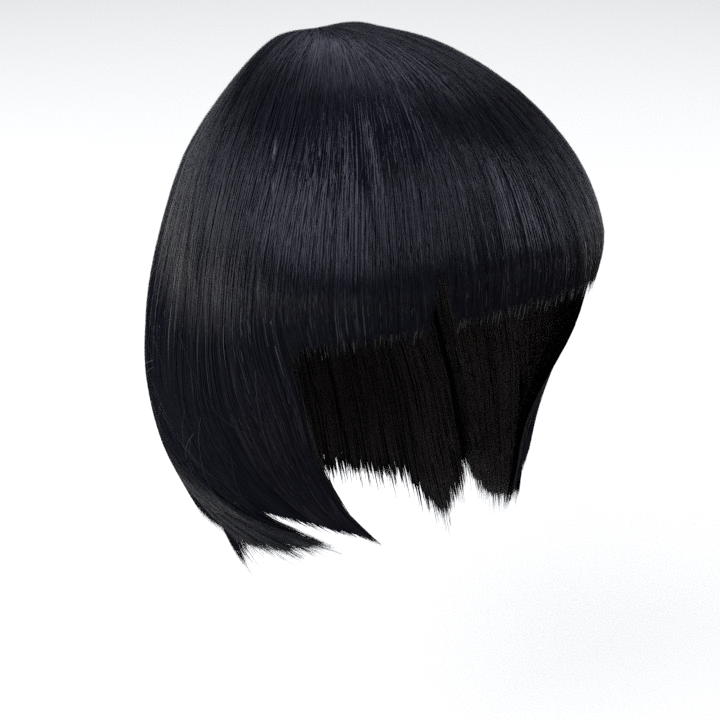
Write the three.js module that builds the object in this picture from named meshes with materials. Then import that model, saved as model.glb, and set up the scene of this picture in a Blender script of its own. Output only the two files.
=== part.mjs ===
// Chin-length bob wig with a full fringe. Straight hair falls from one whorl on the crown, in
// sections that are sewn to a thin dome cap, over shorter under-layers at the nape.
// Millimetres, +Z up. The wearer faces -Y and +X is the wearer's left. The origin is the inside
// of the cap's crown, where the wig sits on the top of the head.
import * as THREE from 'three';

// Outside of the hair, measured from the axis and the top of the head
const hairHalfWidth = 92;
const hairFrontReach = 109;
const hairBackReach = 115;
const crownRise = 8;
const hairDrop = 246;
const fringeDrop = 88;

// Thicknesses and clearances
const hairDepth = 9;
const underDepth = 4.5;
const tipDepth = 1.6;
const capWall = 1.5;
const seamGap = 0.4;

// Locks: how deep the furrow between two locks is, and how much shorter the hair is there
const lockFurrow = 1.3;
const lockNotch = 7;
const lockUnevenness = 0.35;
const lockRhythm = 2.4;
const fringeSlitRise = 26;

// Tapers along a strand, counted in stations: where the furrows deepen below the crown, and
// where the outer and the under hair thin out towards their tips
const furrowTaper = 2;
const outerTipTaper = 1.3;
const underTipTaper = 1.5;

// Mesh counts. A lock is two columns wide, with its furrow on the even column.
const guideCount = 10;
const columnsPerGuide = 10;
const columnCount = guideCount * columnsPerGuide;
const crownStation = 1;
const crownRows = 2;
const cappedRows = 6;
const hangingRows = 8;
const underTipRows = 2;

// Guide strands from the whorl to the tips, as shares of the sizes above. out follows
// hairHalfWidth, ahead follows hairFrontReach or, when negative, hairBackReach, and down
// follows the whole height from the top of the hair to the longest tip. Each strand has one
// row for each station after the whorl, and stations are numbered from 1.
const whorl = { out: 0, ahead: -0.417, down: 0.028 };
const frontGuide = [
  { out: 0, ahead: -0.191, down: 0.010 },
  { out: 0, ahead: 0.110, down: 0.002 },
  { out: 0, ahead: 0.477, down: 0.035 },
  { out: 0, ahead: 0.807, down: 0.129 },
  { out: 0, ahead: 0.982, down: 0.254 },
  { out: 0, ahead: 1.000, down: 0.352 },
  { out: 0, ahead: 0.917, down: 0.477 },
  { out: 0, ahead: 0.844, down: 0.617 },
  { out: 0, ahead: 0.789, down: 0.734 },
  { out: 0, ahead: 0.752, down: 0.840 },
];
const browGuide = [
  { out: 0.11, ahead: -0.210, down: 0.010 },
  { out: 0.25, ahead: 0.050, down: 0.016 },
  { out: 0.39, ahead: 0.370, down: 0.062 },
  { out: 0.50, ahead: 0.675, down: 0.160 },
  { out: 0.55, ahead: 0.860, down: 0.285 },
  { out: 0.53, ahead: 0.880, down: 0.383 },
  { out: 0.49, ahead: 0.790, down: 0.500 },
  { out: 0.42, ahead: 0.710, down: 0.637 },
  { out: 0.35, ahead: 0.700, down: 0.758 },
  { out: 0.23, ahead: 0.720, down: 0.844 },
];
const templeGuide = [
  { out: 0.196, ahead: -0.278, down: 0.018 },
  { out: 0.478, ahead: -0.070, down: 0.047 },
  { out: 0.728, ahead: 0.193, down: 0.125 },
  { out: 0.891, ahead: 0.394, down: 0.234 },
  { out: 0.940, ahead: 0.510, down: 0.348 },
  { out: 0.890, ahead: 0.514, down: 0.440 },
  { out: 0.800, ahead: 0.500, down: 0.547 },
  { out: 0.630, ahead: 0.404, down: 0.703 },
  { out: 0.511, ahead: 0.459, down: 0.799 },
  { out: 0.364, ahead: 0.573, down: 0.852 },
];
const sideGuide = [
  { out: 0.261, ahead: -0.400, down: 0.033 },
  { out: 0.554, ahead: -0.322, down: 0.105 },
  { out: 0.783, ahead: -0.243, down: 0.211 },
  { out: 0.935, ahead: -0.139, down: 0.352 },
  { out: 0.989, ahead: -0.078, down: 0.477 },
  { out: 1.000, ahead: -0.052, down: 0.578 },
  { out: 1.000, ahead: -0.017, down: 0.672 },
  { out: 0.935, ahead: 0.055, down: 0.770 },
  { out: 0.804, ahead: 0.165, down: 0.831 },
  { out: 0.543, ahead: 0.440, down: 0.862 },
];
const rearGuide = [
  { out: 0.152, ahead: -0.539, down: 0.055 },
  { out: 0.359, ahead: -0.635, down: 0.141 },
  { out: 0.542, ahead: -0.722, down: 0.258 },
  { out: 0.650, ahead: -0.783, down: 0.391 },
  { out: 0.722, ahead: -0.812, down: 0.508 },
  { out: 0.756, ahead: -0.812, down: 0.602 },
  { out: 0.778, ahead: -0.778, down: 0.695 },
  { out: 0.783, ahead: -0.661, down: 0.801 },
  { out: 0.739, ahead: -0.513, down: 0.895 },
  { out: 0.674, ahead: -0.313, down: 1.000 },
];
const backGuide = [
  { out: 0, ahead: -0.591, down: 0.066 },
  { out: 0, ahead: -0.765, down: 0.156 },
  { out: 0, ahead: -0.887, down: 0.273 },
  { out: 0, ahead: -0.965, down: 0.398 },
  { out: 0, ahead: -1.000, down: 0.508 },
  { out: 0, ahead: -0.983, down: 0.602 },
  { out: 0, ahead: -0.922, down: 0.703 },
  { out: 0, ahead: -0.817, down: 0.805 },
  { out: 0, ahead: -0.696, down: 0.895 },
  { out: 0, ahead: -0.591, down: 0.977 },
];
const lastStation = frontGuide.length;

// Depth of the outer hair at each station, as shares of hairDepth, on the six guides
const depthShares = [
  { front: 0.85, brow: 0.85, temple: 0.85, side: 0.90, rear: 0.95, back: 0.95 },
  { front: 0.68, brow: 0.70, temple: 0.80, side: 1.10, rear: 1.15, back: 1.15 },
  { front: 0.65, brow: 0.70, temple: 0.90, side: 0.85, rear: 0.90, back: 1.00 },
  { front: 1.00, brow: 1.05, temple: 1.25, side: 0.80, rear: 0.95, back: 1.00 },
  { front: 1.45, brow: 1.60, temple: 1.90, side: 1.10, rear: 1.45, back: 1.35 },
  { front: 1.00, brow: 1.15, temple: 1.40, side: 1.30, rear: 1.80, back: 1.65 },
  { front: 0.55, brow: 0.65, temple: 0.90, side: 1.10, rear: 1.55, back: 1.45 },
  { front: 0.50, brow: 0.55, temple: 0.70, side: 0.95, rear: 1.15, back: 1.10 },
  { front: 0.50, brow: 0.50, temple: 0.60, side: 0.85, rear: 0.95, back: 0.90 },
  { front: 0.50, brow: 0.50, temple: 0.50, side: 0.70, rear: 0.70, back: 0.70 },
  { front: 0.50, brow: 0.45, temple: 0.35, side: 0.45, rear: 0.45, back: 0.45 },
];

// Station of the cap's rim on each guide: hairline, temple, over the ear, behind it and nape
const capRim = { front: 3.9, brow: 3.9, temple: 4.2, side: 4.6, rear: 5.6, back: 6.1 };

// Outer sections between two turns, where turn 0 is the front guide, 2 the left temple, 3 the
// left side, 5 the back, 7 the right side and 8 the right temple. hem gives the station of the
// tips, and the fringe's hem is counted from the station that fringeDrop sets.
const outerSections = [
  { name: 'fringe', from: -2, to: 2, hem: [
    { turn: -2, station: -0.15 }, { turn: -1, station: -0.12 }, { turn: -0.6, station: 0 },
    { turn: 0, station: -0.06 }, { turn: 1, station: -0.15 }, { turn: 2, station: -0.18 }] },
  { name: 'side_hair_left', from: 2, to: 3, hem: [
    { turn: 2, station: 9.75 }, { turn: 2.25, station: 9.35 }, { turn: 2.5, station: 8.95 },
    { turn: 3, station: 8.35 }] },
  { name: 'swept_hair_left', from: 3, to: 3.6, hem: [
    { turn: 3, station: 9.9 }, { turn: 3.4, station: 10 }, { turn: 3.7, station: 9.6 }] },
  { name: 'back_hair', from: 3.6, to: 6.4, hem: [
    { turn: 3.5, station: 9.6 }, { turn: 4, station: 9.3 }, { turn: 5, station: 9.4 },
    { turn: 6, station: 9.3 }, { turn: 6.5, station: 9.6 }] },
  { name: 'swept_hair_right', from: 6.4, to: 7, hem: [
    { turn: 6.3, station: 9.6 }, { turn: 6.6, station: 10 }, { turn: 7, station: 9.9 }] },
  { name: 'side_hair_right', from: 7, to: 8, hem: [
    { turn: 7, station: 8.35 }, { turn: 7.5, station: 8.95 }, { turn: 7.75, station: 9.35 },
    { turn: 8, station: 9.75 }] },
];

// Under-layers at the nape, inside the back section, with tips that reach below its hem
const underSections = [
  { name: 'nape_lock_left', from: 3.6, to: 4.2, hem: [
    { turn: 3.6, station: 9.8 }, { turn: 3.9, station: 10.3 }, { turn: 4.2, station: 9.9 }] },
  { name: 'nape_hair', from: 4.2, to: 5.8, hem: [
    { turn: 4.2, station: 9.8 }, { turn: 5, station: 9.8 }, { turn: 5.8, station: 9.8 }] },
  { name: 'nape_lock_right', from: 5.8, to: 6.4, hem: [
    { turn: 5.8, station: 9.9 }, { turn: 6.1, station: 10.3 }, { turn: 6.4, station: 9.8 }] },
];

// Turn of the thin gap in the fringe, turn of the free edge beside the face, and how thin and
// how wide that edge is
const fringeSlitTurn = -0.6;
const faceEdgeTurn = 2;
const faceEdgeThinning = 0.45;
const faceEdgeWidth = 0.3;

const hairFinish = { color: 0x121217, roughness: 0.42, metalness: 0 };
const capFinish = { color: 0x17161a, roughness: 0.85, metalness: 0 };

const splineTension = 0.5;
const mix = (a, b, share) => a + (b - a) * share;
const limit = (value) => Math.min(Math.max(value, 0), 1);
const smooth = (share) => share * share * (3 - 2 * share);

// A table row as a point in space
function place({ out, ahead, down }, side) {
  const reach = ahead > 0 ? hairFrontReach : hairBackReach;
  return new THREE.Vector3(
    side * out * hairHalfWidth,
    -ahead * reach,
    crownRise - down * (crownRise + hairDrop),
  );
}

function guideCurve(rows, side) {
  const points = [whorl, ...rows].map((row) => place(row, side));
  return new THREE.CatmullRomCurve3(points, false, 'catmullrom', splineTension);
}

const guideCurves = [
  guideCurve(frontGuide, 1),
  guideCurve(browGuide, 1),
  guideCurve(templeGuide, 1),
  guideCurve(sideGuide, 1),
  guideCurve(rearGuide, 1),
  guideCurve(backGuide, 1),
  guideCurve(rearGuide, -1),
  guideCurve(sideGuide, -1),
  guideCurve(templeGuide, -1),
  guideCurve(browGuide, -1),
];

// A guide runs on straight past its last station
function guidePoint(curve, station) {
  const step = 0.05;
  const point = curve.getPoint(Math.min(station / lastStation, 1));
  const beyond = Math.max(station - lastStation, 0);
  const before = curve.getPoint(1 - step / lastStation);
  return point.addScaledVector(curve.getPoint(1).sub(before), beyond / step);
}

// Outside of the hair at a turn around the head and a station down the strand
function hairPoint(turn, station) {
  const points = guideCurves.map((curve) => guidePoint(curve, station));
  const ring = new THREE.CatmullRomCurve3(points, true, 'catmullrom', splineTension);
  const share = turn / guideCount;
  return ring.getPoint(share - Math.floor(share));
}

// Outward normal of that surface, from its slopes along and across the strands
function hairNormal(turn, station) {
  const step = 0.04;
  const middle = Math.max(station, 3 * step);
  const along = hairPoint(turn, middle + step).sub(hairPoint(turn, middle - step));
  const across = hairPoint(turn + step, middle).sub(hairPoint(turn - step, middle));
  return along.cross(across).normalize();
}

const whorlNormal = new THREE.Vector3();
for (let guide = 0; guide < guideCount; guide += 1) {
  whorlNormal.add(hairNormal(guide, crownStation / 2));
}
whorlNormal.normalize();

// A turn on either side as the same turn on the left, from 0 at the front to 5 at the back
function foldedTurn(turn) {
  const around = turn - guideCount * Math.floor(turn / guideCount);
  return Math.min(around, guideCount - around);
}

// A value that is given on the six guides, at any turn
function onGuides({ front, brow, temple, side, rear, back }, turn) {
  const list = [front, brow, temple, side, rear, back];
  const folded = foldedTurn(turn);
  const guide = Math.min(Math.floor(folded), list.length - 2);
  return mix(list[guide], list[guide + 1], smooth(folded - guide));
}

function fullDepth(turn, station) {
  const row = Math.min(Math.floor(station), lastStation - 1);
  const above = onGuides(depthShares[row], turn);
  const below = onGuides(depthShares[row + 1], turn);
  return hairDepth * mix(above, below, Math.min(station - row, 1));
}

// A point of the surface, moved a distance into the hair
function sunk(turn, station, distance) {
  const normal = station > 0 ? hairNormal(turn, station) : whorlNormal;
  return hairPoint(turn, station).addScaledVector(normal, -distance);
}

const turnOf = (column) => column / columnsPerGuide;
const isFurrow = (column) => column % 2 === 0;

// Millimetres of strand between two stations on one turn
function stationLength(turn, station) {
  const half = 0.25;
  return hairPoint(turn, station + half).distanceTo(hairPoint(turn, station - half)) / (2 * half);
}

// Station where the front guide is a given height below the top of the head
function frontStation(drop) {
  const rounds = 30;
  let low = crownStation;
  let high = lastStation;
  for (let round = 0; round < rounds; round += 1) {
    const middle = (low + high) / 2;
    if (hairPoint(0, middle).z > -drop) {
      low = middle;
    } else {
      high = middle;
    }
  }
  return low;
}

const fringeStation = frontStation(fringeDrop);

function tableAt(rows, turn) {
  const next = Math.max(rows.findIndex((row) => row.turn >= turn), 1);
  const [a, b] = [rows[next - 1], rows[next]];
  return mix(a.station, b.station, limit((turn - a.turn) / (b.turn - a.turn)));
}

// Tips of a section: each lock ends at the hem, uneven from lock to lock, and is shorter at
// its furrows, most of all at the thin gap in the fringe
function hemStation(section, column) {
  const turn = turnOf(column);
  const isFringe = section.name === 'fringe';
  const hem = tableAt(section.hem, turn) + (isFringe ? fringeStation : 0);
  const lockIndex = Math.round((column + columnCount) / 2);
  const uneven = lockUnevenness * Math.sin(lockRhythm * lockIndex);
  let cut = lockNotch * (isFurrow(column) ? 1 - uneven : uneven);
  if (isFringe && Math.abs(turn - fringeSlitTurn) < 0.5 / columnsPerGuide) {
    cut = fringeSlitRise;
  }
  return hem - Math.max(cut, 0) / stationLength(turn, hem);
}

function furrowDepth(column, station) {
  const share = smooth(limit((station - crownStation) / furrowTaper));
  return isFurrow(column) ? lockFurrow * share : 0;
}

// Hanging hair thins out towards its tips, and below the fringe along the free edge beside
// the face
function outerDepth(turn, station, hem) {
  const whole = fullDepth(turn, station);
  const fromFace = foldedTurn(turn) - faceEdgeTurn;
  const below = smooth(limit(station - fringeStation + 1));
  const edge = fromFace < 0 ? 1 : mix(faceEdgeThinning, 1, smooth(limit(fromFace / faceEdgeWidth)));
  const towardsTip = smooth(limit((hem - station) / outerTipTaper));
  return mix(tipDepth, whole * mix(1, edge, below), towardsTip);
}

// Stations of a section's rows in one column, aligned with the cap's rows above its rim
function cappedStations(turn) {
  const rim = onGuides(capRim, turn);
  return Array.from({ length: cappedRows + 1 },
    (_, row) => mix(crownStation, rim, row / cappedRows));
}

function hangingStations(section, column) {
  const rim = onGuides(capRim, turnOf(column));
  const hem = hemStation(section, column);
  return Array.from({ length: hangingRows }, (_, row) => mix(rim, hem, (row + 1) / hangingRows));
}

// The turn of a column, moved in by half a seam where the section ends
function trimmedTurn(column, section, station) {
  const turn = turnOf(column);
  const step = 0.02;
  const across = hairPoint(turn + step, station).distanceTo(hairPoint(turn - step, station));
  const half = (seamGap / 2) * (2 * step / across);
  const columns = sectionColumns(section);
  const isFirst = column === columns[0];
  const isLast = column === columns[columns.length - 1];
  return turn + (isFirst ? half : 0) - (isLast ? half : 0);
}

// A closed wall between an outer and an inner grid of points, given row by row. A ring wraps
// round and its first row is one point.
function wallGeometry(outer, inner, isRing) {
  const positions = [];
  const indexOf = (point) => positions.push(point) - 1;
  const number = (rows) => rows.map((row) => row.map(indexOf));
  const grids = [number(outer), number(inner)];
  const faces = [];
  const lastRow = outer.length - 1;
  const spans = outer[lastRow].length - (isRing ? 0 : 1);
  const at = (grid, row, column) => grid[row][column % grid[row].length];
  const addQuad = (a, b, c, d) => {
    faces.push([a, b, c], [a, c, d]);
  };
  for (let row = 0; row < lastRow; row += 1) {
    for (let column = 0; column < spans; column += 1) {
      const [out, inn] = grids.map((grid) => [
        at(grid, row, column), at(grid, row + 1, column),
        at(grid, row + 1, column + 1), at(grid, row, column + 1)]);
      addQuad(...out);
      addQuad(inn[0], inn[3], inn[2], inn[1]);
    }
  }
  for (let column = 0; column < spans; column += 1) {
    const [outA, outB] = [at(grids[0], lastRow, column), at(grids[0], lastRow, column + 1)];
    const [innA, innB] = [at(grids[1], lastRow, column), at(grids[1], lastRow, column + 1)];
    addQuad(outA, innA, innB, outB);
    if (!isRing) {
      addQuad(grids[0][0][column + 1], grids[1][0][column + 1], grids[1][0][column],
        grids[0][0][column]);
    }
  }
  if (!isRing) {
    for (let row = 0; row < lastRow; row += 1) {
      addQuad(grids[0][row][0], grids[1][row][0], grids[1][row + 1][0], grids[0][row + 1][0]);
      addQuad(grids[0][row][spans], grids[0][row + 1][spans], grids[1][row + 1][spans],
        grids[1][row][spans]);
    }
  }
  return meshGeometry(positions, faces.filter(([a, b, c]) => a !== b && b !== c && c !== a));
}

// Faces are turned to point out of the solid
function meshGeometry(positions, faces) {
  const volume = faces.reduce((sum, [a, b, c]) => sum
    + positions[a].dot(positions[b].clone().cross(positions[c])), 0);
  const turned = volume > 0 ? faces : faces.map(([a, b, c]) => [a, c, b]);
  const geometry = new THREE.BufferGeometry().setFromPoints(positions);
  geometry.setIndex(turned.flat());
  geometry.computeVertexNormals();
  return geometry;
}

// Points at the middle of two neighbours, so that a finer grid lies flat on a coarser one
function flattenBetween(row) {
  return row.map((point, index) => (index % 2 === 1 && index < row.length - 1
    ? row[index - 1].clone().lerp(row[index + 1], 0.5) : point));
}

// The short round of hair that closes the whorl, and the cap below it, share their columns
const ringTurns = Array.from({ length: columnCount / 2 }, (_, step) => turnOf(2 * step));

function ringRow(station, depthAt) {
  return ringTurns.map((turn) => sunk(turn, station, depthAt(turn, station)));
}

function crownGeometry() {
  const edge = crownStation - seamGap / stationLength(0, crownStation);
  const grid = (depthAt) => {
    const rows = [[sunk(0, 0, depthAt(0, 0))]];
    for (let row = 1; row <= crownRows; row += 1) {
      rows.push(ringRow(edge * row / crownRows, depthAt));
    }
    return rows;
  };
  return wallGeometry(grid(() => 0), grid(fullDepth), true);
}

function capGeometry() {
  const top = (turn, station) => fullDepth(turn, station) + seamGap;
  const bottom = (turn, station) => top(turn, station) + capWall;
  const grid = (depthAt) => {
    const rows = [[sunk(0, 0, depthAt(0, 0))]];
    for (let row = 1; row < crownRows; row += 1) {
      rows.push(ringRow(crownStation * row / crownRows, depthAt));
    }
    for (let row = 0; row <= cappedRows; row += 1) {
      rows.push(ringTurns.map((turn) => {
        const station = cappedStations(turn)[row];
        return sunk(turn, station, depthAt(turn, station));
      }));
    }
    return rows;
  };
  return wallGeometry(grid(top), grid(bottom), true);
}

function sectionColumns(section) {
  const first = Math.round(section.from * columnsPerGuide);
  const last = Math.round(section.to * columnsPerGuide);
  return Array.from({ length: last - first + 1 }, (_, step) => first + step);
}

function outerGeometry(section) {
  const outer = [];
  const inner = [];
  const columns = sectionColumns(section);
  const seam = seamGap / stationLength(0, crownStation);
  for (let row = 0; row <= cappedRows + hangingRows; row += 1) {
    outer.push([]);
    inner.push([]);
    for (const column of columns) {
      const isCapped = row <= cappedRows;
      const level = isCapped ? cappedStations(turnOf(column))[row]
        : hangingStations(section, column)[row - cappedRows - 1];
      const station = row === 0 ? level + seam : level;
      const turn = trimmedTurn(column, section, station);
      const hem = hemStation(section, column);
      const furrow = furrowDepth(column, station);
      const depth = isCapped ? fullDepth(turn, station) : outerDepth(turn, station, hem);
      outer[row].push(sunk(turn, station, furrow));
      inner[row].push(sunk(turn, station, Math.max(depth, furrow + tipDepth)));
    }
    if (row <= cappedRows) {
      inner[row] = flattenBetween(inner[row]);
    }
  }
  return wallGeometry(outer, inner, false);
}

// An under-layer hangs from the cap's rim, against the inside of the back section
function underGeometry(section) {
  const outer = [];
  const inner = [];
  const back = outerSections.find((candidate) => candidate.name === 'back_hair');
  for (let row = 0; row <= hangingRows + underTipRows; row += 1) {
    outer.push([]);
    inner.push([]);
    for (const column of sectionColumns(section)) {
      const rim = onGuides(capRim, turnOf(column));
      const hung = [rim + seamGap / stationLength(turnOf(column), rim),
        ...hangingStations(back, column)];
      const hem = hemStation(section, column);
      const kept = hung[hangingRows - 1];
      const station = row < hangingRows ? hung[row]
        : mix(kept, hem, (row - hangingRows + 1) / (underTipRows + 1));
      const turn = trimmedTurn(column, section, station);
      const top = fullDepth(turn, station) + seamGap;
      const wall = mix(tipDepth, underDepth, smooth(limit((hem - station) / underTipTaper)));
      outer[row].push(sunk(turn, station, top));
      inner[row].push(sunk(turn, station, top + wall));
    }
  }
  return wallGeometry(outer, inner, false);
}

function namedMesh(name, geometry, finish) {
  const mesh = new THREE.Mesh(geometry, new THREE.MeshStandardMaterial(finish));
  mesh.name = name;
  return mesh;
}

const wig = new THREE.Group();
wig.name = 'bob_wig';
wig.add(namedMesh('wig_cap', capGeometry(), capFinish));
wig.add(namedMesh('crown_whorl', crownGeometry(), hairFinish));
for (const section of outerSections) {
  wig.add(namedMesh(section.name, outerGeometry(section), hairFinish));
}
for (const section of underSections) {
  wig.add(namedMesh(section.name, underGeometry(section), hairFinish));
}

export default wig;
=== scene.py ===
import math

import bmesh
import bpy
import numpy as np
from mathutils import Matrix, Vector


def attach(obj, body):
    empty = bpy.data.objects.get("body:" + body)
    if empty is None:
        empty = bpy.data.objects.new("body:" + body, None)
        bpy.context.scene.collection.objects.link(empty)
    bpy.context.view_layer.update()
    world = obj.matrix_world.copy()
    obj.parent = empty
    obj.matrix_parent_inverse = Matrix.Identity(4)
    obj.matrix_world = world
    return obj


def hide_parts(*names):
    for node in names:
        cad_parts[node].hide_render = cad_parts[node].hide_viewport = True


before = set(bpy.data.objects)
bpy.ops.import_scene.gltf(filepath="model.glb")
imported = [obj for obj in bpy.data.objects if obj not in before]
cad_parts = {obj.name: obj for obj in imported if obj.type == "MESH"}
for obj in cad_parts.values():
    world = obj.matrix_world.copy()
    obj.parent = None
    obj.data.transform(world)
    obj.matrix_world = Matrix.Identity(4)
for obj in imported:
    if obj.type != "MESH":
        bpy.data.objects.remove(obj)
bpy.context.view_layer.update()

# Cap: a thin dome of black stretch net that the hair is sewn to. It follows the inside of the
# hair, and all of the hair follows guide strands that fall from one whorl on the crown, so the
# shape of the guides is worked out here first.
half_width = 0.092
front_reach = 0.109
back_reach = 0.115
crown_rise = 0.008
hair_drop = 0.246
hair_depth = 0.009
seam_gap = 0.0004
cap_wall = 0.0015
last_station = 10
longest = 10.6
turn_count = 10

# Each row is how far out, ahead and down a guide strand is, as shares of the sizes above
whorl = (0, -0.417, 0.028)
guides = {
    "front": [
        (0, -0.191, 0.010), (0, 0.110, 0.002), (0, 0.477, 0.035), (0, 0.807, 0.129), (0, 0.982, 0.254),
        (0, 1.000, 0.352), (0, 0.917, 0.477), (0, 0.844, 0.617), (0, 0.789, 0.734), (0, 0.752, 0.840)],
    "brow": [
        (0.11, -0.210, 0.010), (0.25, 0.050, 0.016), (0.39, 0.370, 0.062), (0.50, 0.675, 0.160),
        (0.55, 0.860, 0.285), (0.53, 0.880, 0.383), (0.49, 0.790, 0.500), (0.42, 0.710, 0.637),
        (0.35, 0.700, 0.758), (0.23, 0.720, 0.844)],
    "temple": [
        (0.196, -0.278, 0.018), (0.478, -0.070, 0.047), (0.728, 0.193, 0.125), (0.891, 0.394, 0.234),
        (0.940, 0.510, 0.348), (0.890, 0.514, 0.440), (0.800, 0.500, 0.547), (0.630, 0.404, 0.703),
        (0.511, 0.459, 0.799), (0.364, 0.573, 0.852)],
    "side": [
        (0.261, -0.400, 0.033), (0.554, -0.322, 0.105), (0.783, -0.243, 0.211), (0.935, -0.139, 0.352),
        (0.989, -0.078, 0.477), (1.000, -0.052, 0.578), (1.000, -0.017, 0.672), (0.935, 0.055, 0.770),
        (0.804, 0.165, 0.831), (0.543, 0.440, 0.862)],
    "rear": [
        (0.152, -0.539, 0.055), (0.359, -0.635, 0.141), (0.542, -0.722, 0.258), (0.650, -0.783, 0.391),
        (0.722, -0.812, 0.508), (0.756, -0.812, 0.602), (0.778, -0.778, 0.695), (0.783, -0.661, 0.801),
        (0.739, -0.513, 0.895), (0.674, -0.313, 1.000)],
    "back": [
        (0, -0.591, 0.066), (0, -0.765, 0.156), (0, -0.887, 0.273), (0, -0.965, 0.398), (0, -1.000, 0.508),
        (0, -0.983, 0.602), (0, -0.922, 0.703), (0, -0.817, 0.805), (0, -0.696, 0.895), (0, -0.591, 0.977)],
}

# Thickness of the hair at each station on the six guides, as shares of hair_depth
depth_shares = np.array([
    (0.85, 0.85, 0.85, 0.90, 0.95, 0.95),
    (0.68, 0.70, 0.80, 1.10, 1.15, 1.15),
    (0.65, 0.70, 0.90, 0.85, 0.90, 1.00),
    (1.00, 1.05, 1.25, 0.80, 0.95, 1.00),
    (1.45, 1.60, 1.90, 1.10, 1.45, 1.35),
    (1.00, 1.15, 1.40, 1.30, 1.80, 1.65),
    (0.55, 0.65, 0.90, 1.10, 1.55, 1.45),
    (0.50, 0.55, 0.70, 0.95, 1.15, 1.10),
    (0.50, 0.50, 0.60, 0.85, 0.95, 0.90),
    (0.50, 0.50, 0.50, 0.70, 0.70, 0.70),
    (0.50, 0.45, 0.35, 0.45, 0.45, 0.45),
])
cap_rim = np.array((3.9, 3.9, 4.2, 4.6, 5.6, 6.1))


def guide_points(name, side):
    """A guide strand in space, run on by one point past each end"""
    out, ahead, down = np.array([whorl] + guides[name]).T
    reach = np.where(ahead > 0, front_reach, back_reach)
    points = np.stack([
        side * out * half_width, -ahead * reach, crown_rise - down * (crown_rise + hair_drop)], 1)
    return np.concatenate([2 * points[:1] - points[1:2], points, 2 * points[-1:] - points[-2:-1]])


guide_ring = np.stack([
    guide_points(name, side) for name, side in (
        ("front", 1), ("brow", 1), ("temple", 1), ("side", 1), ("rear", 1),
        ("back", 1), ("rear", -1), ("side", -1), ("temple", -1), ("brow", -1))])


def smooth(share):
    """A share from 0 to 1 that starts and ends gently"""
    share = np.clip(share, 0, 1)
    return share * share * (3 - 2 * share)


def spline_weights(share):
    """How much four neighbouring points count between the middle two"""
    square, cube = share ** 2, share ** 3
    return np.stack([
        (2 * square - share - cube) / 2, 1 - 2.5 * square + 1.5 * cube,
        (share + 4 * square - 3 * cube) / 2, (cube - square) / 2], -1)


def on_guides(turn, station):
    """Point on the smooth surface through all guide strands"""
    row = np.clip(np.floor(station).astype(int), 0, last_station - 1)
    guide = np.floor(turn).astype(int)
    down_weights = spline_weights(station - row)
    round_weights = spline_weights(turn - guide)
    point = np.zeros(turn.shape + (3,))
    for a in range(4):
        for b in range(4):
            weight = round_weights[..., a] * down_weights[..., b]
            point += weight[..., None] * guide_ring[(guide + a - 1) % turn_count, row + b]
    return point


def hair_point(turn, station):
    """Outside of the hair at a turn around the head and a station down the strand. Past the last
    station it runs straight on."""
    turn, station = np.broadcast_arrays(np.asarray(turn, float), np.asarray(station, float))
    step = 0.05
    end = np.full_like(station, last_station)
    point = on_guides(turn, np.clip(station, 0, last_station))
    slope = (on_guides(turn, end) - on_guides(turn, end - step)) / step
    return point + np.maximum(station - last_station, 0)[..., None] * slope


def unit(vectors):
    """Vectors of length 1, also where one is next to nothing"""
    return vectors / np.maximum(np.linalg.norm(vectors, axis=-1, keepdims=True), 1e-9)


def hair_directions(turn, station):
    """Outward normal, and the slope around the head in metres a turn. The whorl's own point has
    neither, so it takes those of a station just below."""
    step = 0.04
    middle = np.maximum(station, 3 * step)
    down = hair_point(turn, middle + step) - hair_point(turn, middle - step)
    around = (hair_point(turn + step, middle) - hair_point(turn - step, middle)) / (2 * step)
    return unit(np.cross(down, around)), around


def from_front(turn):
    """Turns away from the front, counted alike on both sides"""
    whole = np.mod(turn, turn_count)
    return np.minimum(whole, turn_count - whole)


def between_guides(turn):
    """Number of the guide before a turn, from front to back, and how much the next one counts"""
    guide = np.minimum(np.floor(from_front(turn)).astype(int), len(guides) - 2)
    return guide, smooth(from_front(turn) - guide)


def on_six(values, turn):
    """A value that is given on the six guides, front to back, at any turn on either side"""
    guide, share = between_guides(turn)
    return values[guide] * (1 - share) + values[guide + 1] * share


def full_depth(turn, station):
    """Thickness of the hair where it is thickest, before it thins out to tips and edges"""
    turn, station = np.broadcast_arrays(np.asarray(turn, float), np.asarray(station, float))
    station = np.clip(station, 0, last_station)
    row = np.minimum(np.floor(station).astype(int), last_station - 1)
    guide, share = between_guides(turn)
    above = depth_shares[row, guide] * (1 - share) + depth_shares[row, guide + 1] * share
    below = depth_shares[row + 1, guide] * (1 - share) + depth_shares[row + 1, guide + 1] * share
    return hair_depth * (above + (below - above) * (station - row))


def sunk(turn, station, depth):
    """Point at a depth inside the hair"""
    normal, _ = hair_directions(turn, station)
    return hair_point(turn, station) - normal * np.asarray(depth)[..., None]


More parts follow.
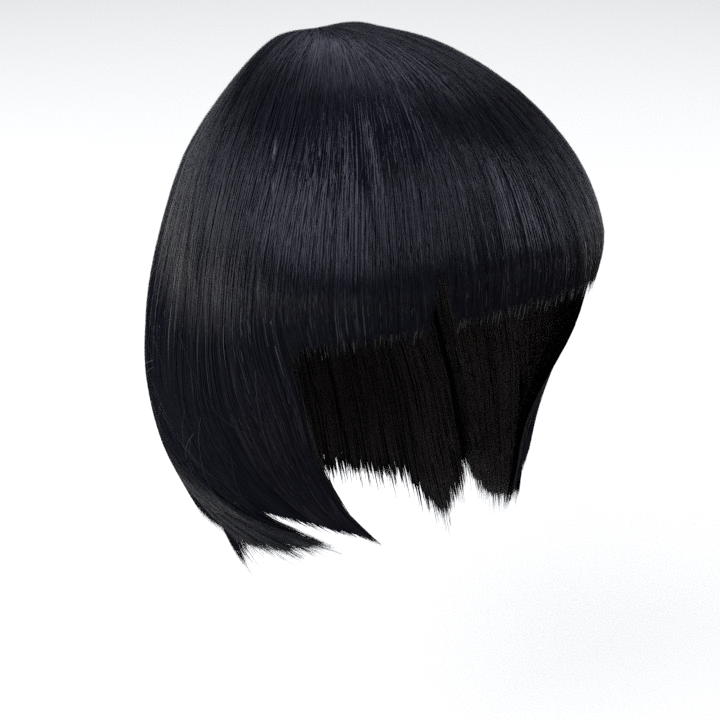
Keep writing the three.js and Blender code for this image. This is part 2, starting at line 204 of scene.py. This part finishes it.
def shell(name, turns, stations, outer_depth, inner_depth, columns, rows):
    """A closed wall that follows the hair between two turns, from the first to the last station
    of each column. It is a grid with a second one inside it, bridged along their rims. All the
    way round, each grid is first closed into a dome: its last column lies on its first, and its
    top row is one point."""
    close = 0.001
    wall = bmesh.new()
    bmesh.ops.create_grid(wall, x_segments=columns, y_segments=rows, size=0.5)
    grid = np.array([vertex.co[:] for vertex in wall.verts])
    across, along = grid[:, 0] + 0.5, grid[:, 1] + 0.5
    turn = turns[0] + (turns[1] - turns[0]) * across
    first, last = stations(turn)
    station = first + (last - first) * along
    inside = bmesh.ops.duplicate(wall, geom=wall.verts[:] + wall.edges[:] + wall.faces[:])["geom"]
    inner_faces = [item for item in inside if isinstance(item, bmesh.types.BMFace)]
    bmesh.ops.reverse_faces(wall, faces=inner_faces)
    places = np.concatenate([
        sunk(turn, station, outer_depth(turn, station)), sunk(turn, station, inner_depth(turn, station))])
    if turns[1] - turns[0] == turn_count:
        column = np.tile(across, 2)
        places[column > 1 - close] = places[column < close]
        for grid_places in np.split(places, 2):
            grid_places[along < close] = grid_places[along < close].mean(0)
    for vertex, place in zip(wall.verts, places):
        vertex.co = place
    uv = wall.loops.layers.uv.new("OFBake")
    count = len(across)
    wall.verts.index_update()
    for face in wall.faces:
        for loop in face.loops:
            index = loop.vert.index % count
            loop[uv].uv = (across[index], station[index] / longest)
    bmesh.ops.remove_doubles(wall, verts=wall.verts[:], dist=1e-6)
    edges = [edge for edge in wall.edges if edge.is_boundary]
    rim = set(bmesh.ops.bridge_loops(wall, edges=edges)["faces"])
    for face in rim:
        for loop in face.loops:
            beside = next(other for other in loop.vert.link_loops if other.face not in rim)
            loop[uv].uv = beside[uv].uv
    bmesh.ops.recalc_face_normals(wall, faces=wall.faces[:])
    if wall.calc_volume(signed=True) < 0:
        bmesh.ops.reverse_faces(wall, faces=wall.faces[:])
    mesh = bpy.data.meshes.new(name)
    wall.to_mesh(mesh)
    wall.free()
    mesh.shade_smooth()
    piece = bpy.data.objects.new(name, mesh)
    bpy.context.scene.collection.objects.link(piece)
    return piece


class Wire:
    """A socket of a shader node that can be used in sums and products"""

    def __init__(self, tree, socket):
        self.tree = tree
        self.socket = socket

    def math(self, operation, *others):
        return node(self.tree, "ShaderNodeMath", {"operation": operation}, self, *others)

    def __add__(self, other):
        return self.math("ADD", other)

    def __mul__(self, other):
        return self.math("MULTIPLY", other)

    __radd__ = __add__
    __rmul__ = __mul__

    def __sub__(self, other):
        return self.math("SUBTRACT", other)

    def __rsub__(self, other):
        return node(self.tree, "ShaderNodeMath", {"operation": "SUBTRACT"}, other, self)


def node(tree, kind, settings, *inputs, output=0, **named):
    """Adds a node with its settings and inputs, and gives one of its outputs"""
    made = tree.nodes.new(kind)
    for key, value in settings.items():
        if key == "stops":
            for stop, (position, colour) in zip(made.color_ramp.elements, value):
                stop.position = position
                stop.color = (*colour, 1)
        else:
            setattr(made, key, value)
    sockets = list(zip(made.inputs, inputs))
    sockets += [(made.inputs[key.replace("_", " ")], value) for key, value in named.items()]
    for socket, value in sockets:
        if isinstance(value, Wire):
            tree.links.new(value.socket, socket)
        elif value is not None:
            socket.default_value = value
    return Wire(tree, made.outputs[output])


def shader(name, **constants):
    """A material with its principled shader, and the shader's sockets set to fixed values"""
    material = bpy.data.materials.new(name)
    material.use_nodes = True
    surface = material.node_tree.nodes["Principled BSDF"]
    for key, value in constants.items():
        surface.inputs[key.replace("_", " ")].default_value = value
    return material, material.node_tree, surface


net_material, net_tree, net_surface = shader(
    "stretch_net", Specular_IOR_Level=0.25, Sheen_Weight=0.05, Sheen_Roughness=0.4)
net_place = node(net_tree, "ShaderNodeTexCoord", {}, output="Object")
net_cells_per_metre = 520
net_edge = node(
    net_tree, "ShaderNodeTexVoronoi", {"feature": "DISTANCE_TO_EDGE"}, net_place,
    Scale=net_cells_per_metre)
net_hole = node(
    net_tree, "ShaderNodeMapRange", {"interpolation_type": "SMOOTHSTEP"}, net_edge,
    From_Min=0.08, From_Max=0.22)
thread_black = (0.026, 0.025, 0.028)
hole_black = (0.004, 0.004, 0.005)
net_colour = node(
    net_tree, "ShaderNodeValToRGB", {"stops": [(0, thread_black), (1, hole_black)]}, net_hole)
net_tree.links.new(net_colour.socket, net_surface.inputs["Base Color"])
net_tree.links.new((0.8 + net_hole * 0.15).socket, net_surface.inputs["Roughness"])
net_bump = node(
    net_tree, "ShaderNodeBump", {"invert": True}, Height=net_hole, Strength=0.6, Distance=0.0004)
net_tree.links.new(net_bump.socket, net_surface.inputs["Normal"])


def cap_stations(turn):
    """Stations from the whorl down to the cap's rim"""
    return np.zeros_like(turn), on_six(cap_rim, turn)


cap = shell(
    "cap_net_dome", (0, turn_count), cap_stations,
    lambda turn, station: full_depth(turn, station) + seam_gap,
    lambda turn, station: full_depth(turn, station) + seam_gap + cap_wall,
    columns=100, rows=24)
cap.data.materials.append(net_material)
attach(cap, "root")
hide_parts("wig_cap")

# Nape layers: shorter under-hair that hangs from the cap's rim inside the back hair. It is
# black synthetic fibre in thin wefts, and its two outer locks end lower than the rest.
under_depth = 0.0045
tip_depth = 0.0016
bump_count = 4096
bumps = np.random.default_rng(5).uniform(-1, 1, bump_count)


def bump(number):
    """A seeded value between -1 and 1 for a whole number, the same each time"""
    return bumps[number % bump_count]


def uneven(x, y=0.0):
    """Smooth seeded unevenness between -1 and 1"""
    x, y = np.broadcast_arrays(np.asarray(x, float), np.asarray(y, float))
    column, row = np.floor(x).astype(int), np.floor(y).astype(int)
    along, down = smooth(x - column), smooth(y - row)
    row_stride = 57
    rows = []
    for step in (0, 1):
        key = row_stride * (row + step) + column
        rows.append(bump(key) * (1 - along) + bump(key + 1) * along)
    return rows[0] * (1 - down) + rows[1] * down


# Depths of the furrows between locks, what the tips add to it, between bundles and strands
lock_furrow = 0.00035
tip_furrow = 0.0004
bundle_furrow = 0.00016
strand_furrow = 0.00008


def relief(turn, station):
    """Depth of the furrows: soft locks with finer bundles of strands in them"""
    below_crown = smooth((station - 0.8) / 2.5)
    to_tips = smooth((station - 6.5) / 3)
    locks = uneven(turn * 8 + 0.5 * uneven(station * 0.6, 9), station * 0.22)
    bundles = uneven(turn * 31 + 40, station * 0.35)
    fine = uneven(turn * 90 + 80, station * 0.5)
    lock_depth = below_crown * (lock_furrow + tip_furrow * to_tips) * (1 + locks)
    return lock_depth + bundle_furrow * bundles + strand_furrow * fine


# How far a strand leans forward of the guides, in turns, at turns away from the front: the hair
# fans back from the crown to the bulge, and sweeps forward again from there to the tips
crown_lean = np.array(((0, 0), (1, 0.45), (2, 0.8), (3, 0.5), (4, 0.25), (5, 0)))
tip_lean = np.array(((2, 0), (2.5, 0.3), (3, 0.45), (3.6, 0.4), (4.2, 0.25), (5, 0)))
bulge_station = 6
below_bulge = last_station - bulge_station


def strand_line(turn, station, last):
    """Turns along the strands that end at the given turns and at the station last"""
    side = np.where(np.mod(turn, turn_count) > turn_count / 2, -1, 1)
    at_tip = from_front(turn)
    at_bulge = at_tip + np.interp(at_tip, *tip_lean.T)
    swept = smooth((station - bulge_station) / below_bulge)
    swept = swept / np.maximum(smooth((last - bulge_station) / below_bulge), 0.01)
    fanned = 1 - smooth((station - 0.8) / 5)
    forward = np.interp(at_bulge, *crown_lean.T) * fanned
    ends_below_bulge = last > bulge_station + 1
    back = np.where(ends_below_bulge, (at_bulge - at_tip) * (1 - np.minimum(swept, 1)), 0)
    return turn + side * (back - forward)


def painted_highlight_rise(turn):
    """Stations by which the painted lower edge of the highlight band ends higher up at the sides and back
    than in front
    """
    in_front, behind = 0.1, 1.2
    temple_turn, turns_to_back = 1.5, 2.5
    return in_front + behind * smooth((from_front(turn) - temple_turn) / turns_to_back)


# How single strands vary, in metres, turns, stations and shares of a strand's length
full_wave = 6.28
stray = 0.00013
tuck_depth, tuck_share = 0.0007, 0.12
gather_stations = 1.6
crossing_end = 2.5
wide_bundle = 0.085
root_share = 0.06
tip_start, tip_share = 0.93, 0.07
full_spacing, least_crowded = 0.045, 0.3


def clumped(turn, clump):
    """Number of the clump that a strand is in, and the turn of the clump's middle"""
    number = np.floor(turn / clump + 0.4 * uneven(turn * 5 + 11)).astype(int)
    return number, (number + 0.5 + 0.3 * bump(number)) * clump


def strand_ends(dice, turn, stations, clump, top_share, fray):
    """Stations where strands start and end. A top_share of them start at the top and the others
    further down. They end near the hem, uneven from clump to clump and frayed by chance."""
    count = len(turn)
    first, last = stations(turn)
    start = np.where(
        dice.random(count) < top_share, first + dice.uniform(0, 0.25, count),
        first + (last - first) * 0.55 * dice.random(count) ** 0.8)
    number, middle = clumped(turn, clump)
    off_middle = np.abs(turn - middle) / clump
    end = last + 0.06 * uneven(turn * 2.3 + 5) + 0.02 * bump(7 * number) - 0.05 * off_middle
    end = end - fray * np.abs(dice.normal(0, 1, count)) + 3 * fray * dice.random(count) ** 12
    return start, end


def ribbons(dice, turn, line, station, depth, along, width, tilt, facing):
    """Flat ribbons along the strands, which shade as if they were round, for strand_piece"""
    normal, around = hair_directions(line, station)
    point = hair_point(line, station) - normal * depth[..., None]
    sideways = unit(np.cross(unit(np.gradient(point, axis=1)), normal))
    spacing = np.linalg.norm(around, axis=-1)
    slope = (relief(line + 0.01, station) - relief(line - 0.01, station)) / (0.02 * spacing)
    furrowed = normal + (slope / spacing)[..., None] * around
    taper = smooth(along / root_share) * 0.5 + 0.5
    taper = taper * (1 - 0.75 * smooth((along - tip_start) / tip_share))
    crowded = np.clip(spacing / full_spacing, least_crowded, 1)
    half = 0.5 * width * dice.uniform(0.7, 1.3, len(turn))[:, None] * taper * crowded
    across = sideways * half[..., None]
    roundness = dice.uniform(0.5, 1.0, len(turn))[:, None, None]
    tilt = (dice.normal(0, 0.15, len(turn))[:, None] + tilt)[..., None]
    edge_normals = [
        facing * unit(furrowed + sideways * (tilt + side * roundness)) for side in (-1, 1)]
    shade = dice.random(len(turn))
    sides = [(point - across, edge_normals[0]), (point + across, edge_normals[1])][::facing]
    # Down the ribbon the UV places the painted lower edge of the highlight, higher at the sides and back
    painted_highlight_down = (station + painted_highlight_rise(turn)) / longest
    return sides[0][0], sides[1][0], sides[0][1], sides[1][1], shade, painted_highlight_down


def lay(seed, count, turns, stations, layer, wall, width, steps, sway=0.010, clump=0.07, lean=1,
        gather=0.35, facing=1, top_share=0.35, fray=0.10, bundle=0.03, crossing=0):
    """Ribbons for single strands. layer is where they lie in the hair, from 0 outside to 1 inside,
    and wall gives the depth of its outside and its thickness. With a lean of 0 they stay on the
    guides. Strands of one bundle shine alike and may cross the next bundle at the crown, and near
    the tips they gather in clumps."""
    dice = np.random.default_rng(seed)
    turn = dice.uniform(*turns, count)
    first, last = stations(turn)
    start, end = strand_ends(dice, turn, stations, clump, top_share, fray)
    share = dice.uniform(*layer, count)[:, None]
    strayed = dice.normal(0, stray, count)[:, None]
    phase = dice.uniform(0, full_wave, (2, count))[0][:, None]
    reach = dice.normal(0, sway, count)[:, None]
    drift = dice.normal(0, 0.35 * sway, count)[:, None]
    tucked = (start > first + 0.3)[:, None]
    turn, start, end, last = (values[:, None] for values in (turn, start, end, last))

    along = np.linspace(0, 1, steps + 1)[None, :]
    station = start + (end - start) * along
    line = turn + lean * (strand_line(turn, station, last) - turn)
    line = line + reach * np.sin(1.3 * station + phase) + drift * (station - start)
    bundled = np.floor(turn / bundle + 0.5 * uneven(turn * 9 + 3)).astype(int)
    line = line + crossing * bump(3 * bundled) * (1 - smooth(station / crossing_end))
    pull = gather * smooth((station - last + gather_stations) / gather_stations)
    line = line + (clumped(turn, clump)[1] - turn) * pull

    outside, thickness = wall(line, station, last)
    depth = outside + share * thickness + strayed
    depth = depth + tuck_depth * (1 - smooth(along / tuck_share)) * tucked
    depth = depth + relief(line, station) * (1 - share) * (facing > 0)

    wide_bundled = np.floor(turn / wide_bundle + 0.4 * uneven(turn * 7 + 23)).astype(int)
    near_crown = 1 - smooth((station - 0.8) / 3)
    tilt = 0.22 * bump(5 * bundled + 2) + 0.55 * bump(11 * wide_bundled) * near_crown
    return ribbons(dice, turn, line, station, depth, along, width, tilt, facing)


ribbon_shade_step = 0.0008


def strand_piece(name, material, families):
    """One joined mesh of many ribbons, with their own smooth normals. Across a ribbon its UV map gives the
    strand's own shade, and down it how far its painted highlight reaches."""
    places, normals, coordinates, faces = [], [], [], []
    total = 0
    for left, right, left_normal, right_normal, shade, along in families:
        count, knots = left.shape[:2]
        places.append(np.stack([left, right], 2).reshape(-1, 3))
        normals.append(np.stack([left_normal, right_normal], 2).reshape(-1, 3))
        shade = np.broadcast_to(shade[:, None], along.shape)
        u = np.stack([shade, shade + ribbon_shade_step], 2)
        coordinates.append(np.stack([u, np.stack([along, along], 2)], -1).reshape(-1, 2))
        first = total + 2 * (np.arange(count)[:, None] * knots + np.arange(knots - 1)[None, :])
        faces.append(np.stack([first, first + 1, first + 3, first + 2], -1).reshape(-1, 4))
        total += 2 * count * knots
    places, normals, coordinates, faces = (
        np.concatenate(part) for part in (places, normals, coordinates, faces))
    mesh = bpy.data.meshes.new(name)
    mesh.vertices.add(total)
    mesh.vertices.foreach_set("co", places.astype(np.float32).ravel())
    mesh.loops.add(faces.size)
    mesh.loops.foreach_set("vertex_index", faces.astype(np.int32).ravel())
    mesh.polygons.add(len(faces))
    mesh.polygons.foreach_set("loop_start", 4 * np.arange(len(faces), dtype=np.int32))
    mesh.update(calc_edges=True)
    uv = mesh.uv_layers.new(name="OFBake")
    uv.data.foreach_set("uv", coordinates[faces.ravel()].astype(np.float32).ravel())
    mesh.shade_smooth()
    mesh.normals_split_custom_set_from_vertices(normals)
    mesh.materials.append(material)
    piece = bpy.data.objects.new(name, mesh)
    bpy.context.scene.collection.objects.link(piece)
    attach(piece, "root")
    return piece


def hair_material(name, dark, light, gloss, below=0.05, tips=0.05):
    """Fibre whose shade and gloss change from strand to strand. Its coat gloss is full from the crown to
    the fullest part of the bob, and below that and at the tips it keeps only the given shares of that: a
    painted lower edge of the highlight band, and painted shade on the lower hair."""
    material, tree, surface = shader(
        name, Specular_IOR_Level=0, Roughness=0.6, Coat_IOR=1.26, Coat_Roughness=0.22)
    place = node(tree, "ShaderNodeUVMap", {"uv_map": "OFBake"})
    fine = node(tree, "ShaderNodeMapping", {}, place, Scale=(420, 2.5, 1))
    broad = node(tree, "ShaderNodeMapping", {}, place, Scale=(60, 0.8, 1))
    streak = node(tree, "ShaderNodeTexNoise", {"noise_dimensions": "2D"}, fine, Detail=2, Scale=1)
    band = node(tree, "ShaderNodeTexNoise", {"noise_dimensions": "2D"}, broad, Detail=1, Scale=1)
    mixed = streak * 0.7 + band * 0.3
    colour = node(tree, "ShaderNodeValToRGB", {"stops": [(0.3, dark), (0.7, light)]}, mixed)
    tree.links.new(colour.socket, surface.inputs["Base Color"])
    down = node(tree, "ShaderNodeSeparateXYZ", {}, place, output="Y")
    # Some strands keep their gloss a little further down, which frays the painted edge of the highlight
    painted_highlight_fray = node(
        tree, "ShaderNodeMapRange", {}, streak, From_Min=0.6, From_Max=0.74, To_Min=0, To_Max=0.13)
    # Painted shade: the coat gloss fades below the fullest part of the bob, and more at the tips
    above = node(
        tree, "ShaderNodeMapRange", {"interpolation_type": "SMOOTHSTEP"}, down - painted_highlight_fray,
        From_Min=0.44, From_Max=0.56, To_Min=1, To_Max=below)
    tip = node(
        tree, "ShaderNodeMapRange", {"interpolation_type": "SMOOTHSTEP"}, down,
        From_Min=0.84, From_Max=0.95, To_Min=0, To_Max=tips - below)
    tree.links.new(((above + tip) * (gloss - 0.5 + mixed)).socket, surface.inputs["Coat Weight"])
    return material


# The black fibre keeps a twentieth of its gloss below the bulge and at the tips: painted shade on the lower
# hair
black_hair = hair_material("black_fibre", (0.0028, 0.0028, 0.0038), (0.007, 0.0073, 0.0105), 0.7)
# The inner strands are a lighter, browner copy of the black fibre with its full gloss: painted light on the
# shaded inside of the hair
inner_hair_painted_light = hair_material(
    "inner_fibre_painted_light", (0.011, 0.0095, 0.009), (0.05, 0.041, 0.037), 0.8, below=1, tips=1)


# What a backing leaves to the strands at its tips, in stations, and outside and inside, in metres
bare_tips = 0.4
outer_strands = 0.0009
inner_strands = 0.0006


def backing(name, turns, stations, wall, columns, rows):
    """Dark bundle under the single strands, a little thinner and shorter than the hair itself"""
    def short(turn):
        first, last = stations(turn)
        return first, last - bare_tips

    def outer(turn, station):
        outside, thickness = wall(turn, station, stations(turn)[1])
        return outside + np.minimum(outer_strands, 0.3 * thickness) + relief(turn, station)

    def inner(turn, station):
        outside, thickness = wall(turn, station, stations(turn)[1])
        return outside + thickness - np.minimum(inner_strands, 0.2 * thickness)

    piece = shell(name, turns, short, outer, inner, columns, rows)
    piece.data.materials.append(black_hair)
    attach(piece, "root")
    return piece


def under_wall(turn, station, hem):
    """Depth of the under-hair's outside, which is the inside of the outer hair, and its thickness"""
    thickness = tip_depth + (under_depth - tip_depth) * smooth((hem - station) / 1.5)
    return full_depth(turn, station) + seam_gap, thickness


def hung_from_rim(hem):
    """Stations from the cap's rim down to a hem that is given as rows of turn and station"""
    hem_turns, hem_stations = np.array(hem).T
    return lambda turn: (on_six(cap_rim, turn) + 0.02, np.interp(turn, hem_turns, hem_stations))


strand_width = 0.0005
columns_per_turn = 20

# Turns between which each layer hangs, its hem as turns and stations, and how many strands it has
nape_layers = {
    "nape_lock_left": ((3.6, 4.2), ((3.6, 9.8), (3.9, 10.3), (4.2, 9.9)), 520),
    "nape_hair": ((4.2, 5.8), ((4.2, 9.8), (5.8, 9.8)), 1000),
    "nape_lock_right": ((5.8, 6.4), ((5.8, 9.9), (6.1, 10.3), (6.4, 9.8)), 520),
}
for number, (layer_name, layer) in enumerate(nape_layers.items()):
    layer_turns, layer_hem, amount = layer
    layer_stations = hung_from_rim(layer_hem)
    layer_backing = backing(
        layer_name + "_backing", layer_turns, layer_stations, under_wall,
        round(columns_per_turn * (layer_turns[1] - layer_turns[0])), 16)
    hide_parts(layer_name)
    strand_piece(layer_name + "_strands", black_hair, [lay(
        100 + number, amount, layer_turns, layer_stations, (0, 1), under_wall, strand_width, 12,
        lean=0, top_share=0.6, clump=0.05, gather=0.25, fray=0.12)])
    strand_piece(layer_name + "_inner_strands", inner_hair_painted_light, [lay(
        110 + number, amount // 2, layer_turns, layer_stations, (0.95, 1), under_wall, strand_width,
        12, lean=0, facing=-1, top_share=0.6, clump=0.05, gather=0.2, fray=0.12)])

# Outer hair: six sections of straight fibre that are sewn to the cap row over row, from the
# whorl down. Each thins out to feathered tips, and beside the face to a thin free edge.
crown_station = 1
fringe_drop = 0.088
face_edge_turn = 2
face_edge_thinning = 0.45
face_edge_width = 0.3
front_stations = np.linspace(crown_station, last_station, 400)
front_heights = hair_point(0, front_stations)[:, 2]
fringe_station = np.interp(fringe_drop, -front_heights, front_stations)


def outer_wall(turn, station, hem):
    """Depth of the outer hair's outside, which is none, and its thickness"""
    whole = full_depth(turn, station)
    from_face = from_front(turn) - face_edge_turn
    below_fringe = smooth(station - fringe_station + 1)
    beside_face = face_edge_thinning + (1 - face_edge_thinning) * smooth(from_face / face_edge_width)
    edge = np.where(from_face < 0, 1, beside_face)
    whole = whole * (1 + (edge - 1) * below_fringe)
    return 0 * whole, tip_depth + (whole - tip_depth) * smooth((hem - station) / 1.3)


def from_whorl(hem):
    """Stations from the whorl's edge down to a hem that is given as rows of turn and station"""
    hem_turns, hem_stations = np.array(hem).T
    return lambda turn: (0 * turn + crown_station - 0.05, np.interp(turn, hem_turns, hem_stations))


def from_rim(stations):
    """Stations that start just above the cap's rim, for strands on the inside"""
    return lambda turn: (np.maximum(on_six(cap_rim, turn) - 0.4, 0), stations(turn)[1])


def near_hem(stations, above=2.4):
    """Stations that start a little above the hem"""
    return lambda turn: (stations(turn)[1] - above, stations(turn)[1])


# The hem of the fringe, counted from its own station, with the thin gap at a turn of -0.6
fringe_hem = [(turn, fringe_station + offset) for turn, offset in (
    (-2, -0.15), (-1, -0.12), (-0.72, 0), (-0.64, -1), (-0.57, -1), (-0.48, 0), (0, -0.06),
    (1, -0.15), (2, -0.18))]

# Turns between which each section hangs, its hem as turns and stations, how many strands it has
# and in how many steps they bend
outer_sections = {
    "back_hair": ((3.6, 6.4), ((3.5, 9.6), (4, 9.3), (5, 9.4), (6, 9.3), (6.5, 9.6)), 4000, 18),
    "swept_hair_left": ((3, 3.6), ((3, 9.9), (3.4, 10), (3.7, 9.6)), 1300, 18),
    "swept_hair_right": ((6.4, 7), ((6.3, 9.6), (6.6, 10), (7, 9.9)), 1300, 18),
    "side_hair_left": ((2, 3), ((2, 9.75), (2.25, 9.35), (2.5, 8.95), (3, 8.35)), 2000, 18),
    "side_hair_right": ((7, 8), ((7, 8.35), (7.5, 8.95), (7.75, 9.35), (8, 9.75)), 2000, 18),
    "fringe": ((-2, 2), fringe_hem, 6200, 11),
}
# The swept locks are a slightly bluer copy of the black fibre with less painted shade at the tips: the blue
# tint is a painted sheen
swept_hair = hair_material(
    "swept_fibre_painted_sheen", (0.0028, 0.0029, 0.0042), (0.007, 0.0076, 0.0115), 0.7, tips=0.5)
# The thin edge beside the face is a lighter, browner copy of the black fibre: painted light where the hair
# is thin
thin_edge_painted_light = hair_material(
    "thin_edge_fibre_painted_light", (0.005, 0.0042, 0.0045), (0.017, 0.0145, 0.0155), 0.5, below=0.3, tips=0.3)
outer_width = 0.00055
inner_width = 0.0006
thin_edge_width = 0.0004
edge_amount = 420
seam_lap = 0.012
for number, (section_name, section) in enumerate(outer_sections.items()):
    section_turns, section_hem, amount, steps = section
    section_stations = from_whorl(section_hem)
    width_turns = section_turns[1] - section_turns[0]
    section_backing = backing(
        section_name + "_backing", section_turns, section_stations, outer_wall,
        round(30 * width_turns), 36)
    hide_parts(section_name)
    lapped = (section_turns[0] - seam_lap, section_turns[1] + seam_lap)
    strand_hair = swept_hair if "swept" in section_name else black_hair
    strand_piece(section_name + "_strands", strand_hair, [
        lay(200 + number, amount, lapped, section_stations, (0, 0.12), outer_wall, outer_width, steps),
        lay(210 + number, round(260 * width_turns), lapped, near_hem(section_stations), (0.1, 1),
            outer_wall, strand_width, 6, top_share=1, fray=0.14)])
    inside = [lay(
        220 + number, round(700 * width_turns), lapped, from_rim(section_stations), (0.9, 1),
        outer_wall, inner_width, 8, lean=0, facing=-1, top_share=0.7, clump=0.05, gather=0.2)]
    if section_name.startswith("side"):
        lip, thin_edge = ((2, 2.04), (2, 2.4)) if section_turns[0] == 2 else ((7.96, 8), (7.6, 8))
        strand_piece(section_name + "_thin_edge_strands", thin_edge_painted_light, [lay(
            240 + number, edge_amount, thin_edge, near_hem(section_stations, 3.4), (0, 0.05),
            outer_wall, thin_edge_width, 10, top_share=0.2)])
        inside.append(lay(
            230 + number, edge_amount, lip, from_rim(section_stations), (0.35, 1), outer_wall,
            strand_width, 10, lean=0, top_share=0.7, gather=0.2))
    strand_piece(section_name + "_inner_strands", inner_hair_painted_light, inside)

# Whorl: the short round of black fibre on the crown from which all strands fall. They are sewn at
# one point, cross each other close to it and lie over the tops of the sections. Shorter and wider
# ones lie below them and cover the backing.
whole_round = (0, turn_count)


def round_whorl(first, last):
    """The same first and last station all the way round"""
    return lambda turn: (0 * turn + first, 0 * turn + last)


whorl_backing = backing("whorl_backing", whole_round, round_whorl(0, 1.42), outer_wall, 60, 8)
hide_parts("crown_whorl")
strand_piece("whorl_strands", black_hair, [
    lay(300, 2200, whole_round, round_whorl(0.05, 2.4), (-0.06, 0.04), outer_wall, 0.0006, 10,
        sway=0.03, clump=0.2, gather=0.5, top_share=0.9, fray=0.4, bundle=0.1, crossing=0.35),
    lay(301, 900, whole_round, round_whorl(0.02, 1.3), (0.02, 0.08), outer_wall, 0.0008, 8,
        gather=0, top_share=1, fray=0.1),
])

# Loose strands: a few single fibres that have sprung from the sections. They lie over the hair in long flat
# arcs, across its run, and catch the light more than the combed fibres; their fibre is also a lighter copy
# of the black one, a painted sheen, and keeps more of its gloss below the bulge.
loose_hair_painted_sheen = hair_material(
    "loose_fibre_painted_sheen", (0.005, 0.005, 0.0065), (0.015, 0.015, 0.019), 0.5, below=0.7, tips=0.7)


def spring(seed, count, turns, stations, reach, lift, width, steps=14):
    """Single fibres that leave the run of the hair by up to reach, in turns, and rise up to lift"""
    dice = np.random.default_rng(seed)
    turn = dice.uniform(*turns, count)[:, None]
    first = dice.uniform(*stations, count)[:, None]
    length = dice.uniform(0.8, 2.2, count)[:, None]
    along = np.linspace(0, 1, steps + 1)[None, :]
    station = first + length * along
    slant = (dice.uniform(0.2, 1, count) * dice.choice((-1, 1), count))[:, None] * reach
    curl = dice.normal(0, 0.12, count)[:, None] * reach
    line = strand_line(turn, station, last_station)
    line = line + slant * (along - 0.5) + curl * (along - along ** 2) * 2
    height = dice.uniform(0.2, 1, count)[:, None] * lift * np.sin(math.pi * np.clip(along, 0.05, 0.9))
    normal, _ = hair_directions(line, station)
    point = hair_point(line, station) + normal * (height - relief(line, station))[..., None]
    sideways = unit(np.cross(unit(np.gradient(point, axis=1)), normal))
    half = 0.5 * width * dice.uniform(0.6, 1.2, count)[:, None] * (1 - 0.6 * along)
    across = sideways * half[..., None]
    edge_normals = [unit(normal + side * 0.7 * sideways) for side in (-1, 1)]
    return (point - across, point + across, *edge_normals, dice.random(count), station / longest)


# Both sides, the back, the fringe, and all round the whorl
loose_width = 0.00024
strand_piece("loose_strands", loose_hair_painted_sheen, [
    spring(400, 22, (6.7, 7.8), (4.8, 7.6), 0.6, 0.0016, loose_width),
    spring(401, 22, (2.2, 3.3), (4.8, 7.6), 0.6, 0.0016, loose_width),
    spring(402, 30, (3.4, 6.6), (4.5, 7.2), 0.5, 0.0018, loose_width),
    spring(403, 20, (-1.8, 1.8), (3.0, 4.0), 0.3, 0.0010, loose_width),
    spring(404, 80, whole_round, (0.3, 1.2), 0.6, 0.0012, 1.5 * loose_width),
])

# Stage: a plain pale floor below the wig, soft studio lights around it, and the camera at the
# photograph's viewing angle, from the wearer's right and a little above.
floor_drop = 0.42
floor_reach = 6
floor_mesh = bmesh.new()
bmesh.ops.create_grid(floor_mesh, x_segments=1, y_segments=1, size=floor_reach)
bmesh.ops.translate(floor_mesh, verts=floor_mesh.verts[:], vec=(0, 0, -floor_drop))
floor_data = bpy.data.meshes.new("floor")
floor_mesh.to_mesh(floor_data)
floor_mesh.free()
floor = bpy.data.objects.new("floor", floor_data)
bpy.context.scene.collection.objects.link(floor)
floor_material, floor_tree, floor_surface = shader(
    "pale_floor", Base_Color=(0.92, 0.90, 0.72, 1), Roughness=0.9, Specular_IOR_Level=0.1)
floor_data.materials.append(floor_material)


daylight = (0.76, 0.785, 1.0)


def soft_light(name, azimuth, elevation, distance, size, power, aim=(0, 0, -0.1)):
    """A wide studio light. Azimuth 0 is in front of the wearer and 90 at the wearer's left."""
    round_way, up_way = math.radians(azimuth), math.radians(elevation)
    way = Vector((
        math.sin(round_way) * math.cos(up_way), -math.cos(round_way) * math.cos(up_way),
        math.sin(up_way)))
    data = bpy.data.lights.new(name, "AREA")
    data.shape = "RECTANGLE"
    data.size, data.size_y = size
    data.energy = power
    data.color = daylight
    lamp = bpy.data.objects.new(name, data)
    lamp.location = Vector(aim) + way * distance
    lamp.rotation_mode = "QUATERNION"
    lamp.rotation_quaternion = way.to_track_quat("Z", "Y")
    bpy.context.scene.collection.objects.link(lamp)


soft_light("left_light", -127, 20, 1.7, (1.3, 1.1), 37)
soft_light("front_light", -62, 38, 1.8, (1.4, 1.5), 38)
soft_light("right_light", 78, 14, 1.7, (1.2, 1.1), 21)
soft_light("back_light", 145, 59, 1.7, (1.9, 1.6), 18, aim=(0.35, 0.55, -0.42))

world = bpy.data.worlds.new("studio")
world.use_nodes = True
world.node_tree.nodes["Background"].inputs["Color"].default_value = (0.78, 0.80, 1, 1)
world.node_tree.nodes["Background"].inputs["Strength"].default_value = 0.2
bpy.context.scene.world = world
bpy.context.scene.view_settings.view_transform = "Standard"

camera_data = bpy.data.cameras.new("camera")
camera_data.sensor_width = 36
camera_data.lens = 130.8
camera_data.shift_x = -0.018
camera_data.shift_y = -0.103
camera_data.clip_start = 0.05
camera = bpy.data.objects.new("camera", camera_data)
camera_aim = Vector((0, 0, -0.110))
camera.location = (-0.5937, -0.9501, 0.3200)
camera.rotation_mode = "QUATERNION"
camera.rotation_quaternion = (camera.location - camera_aim).to_track_quat("Z", "Y")
bpy.context.scene.collection.objects.link(camera)
bpy.context.scene.camera = camera

bpy.context.scene.cycles.use_denoising = False
